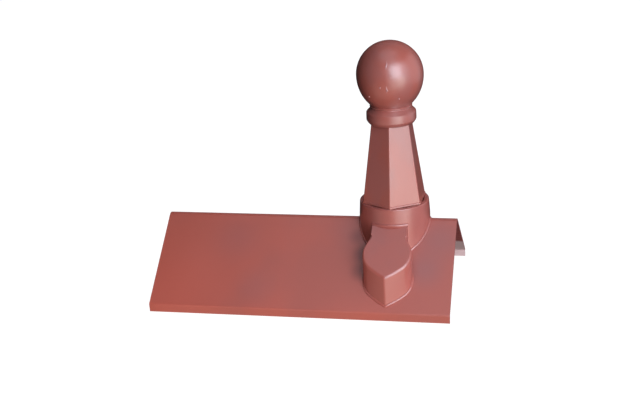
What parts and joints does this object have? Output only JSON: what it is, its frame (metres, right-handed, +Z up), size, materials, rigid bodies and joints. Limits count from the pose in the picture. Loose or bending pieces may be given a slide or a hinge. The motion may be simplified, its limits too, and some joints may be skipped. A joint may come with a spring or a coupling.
{
  "type": "roof finial",
  "caption": "Terracotta-coloured ridge cap with a saddle base near one end, and a ball-topped hexagonal post standing in its round socket.",
  "frame": {"origin": "under the middle of the ridge cap, level with the lower edges of its lips", "axes": "+X along the ridge towards the end with the finial, +Y across it, +Z up through the post"},
  "size_m": [0.45, 0.2452, 0.3818],
  "materials": {
    "ridge_cap": "terracotta gel coat on glass-fibre laminate, satin, bare laminate underneath",
    "finial_base": "terracotta gel coat, satin, rounded edges slightly rubbed",
    "finial_post": "terracotta gel coat, satin, with a mould seam and small gel coat pips on the ball"
  },
  "bodies": {
    "root": {"ridge_cap": "ridge_cap", "finial_base": "finial_base", "finial_post": "finial_post"}
  },
  "joints": []
}
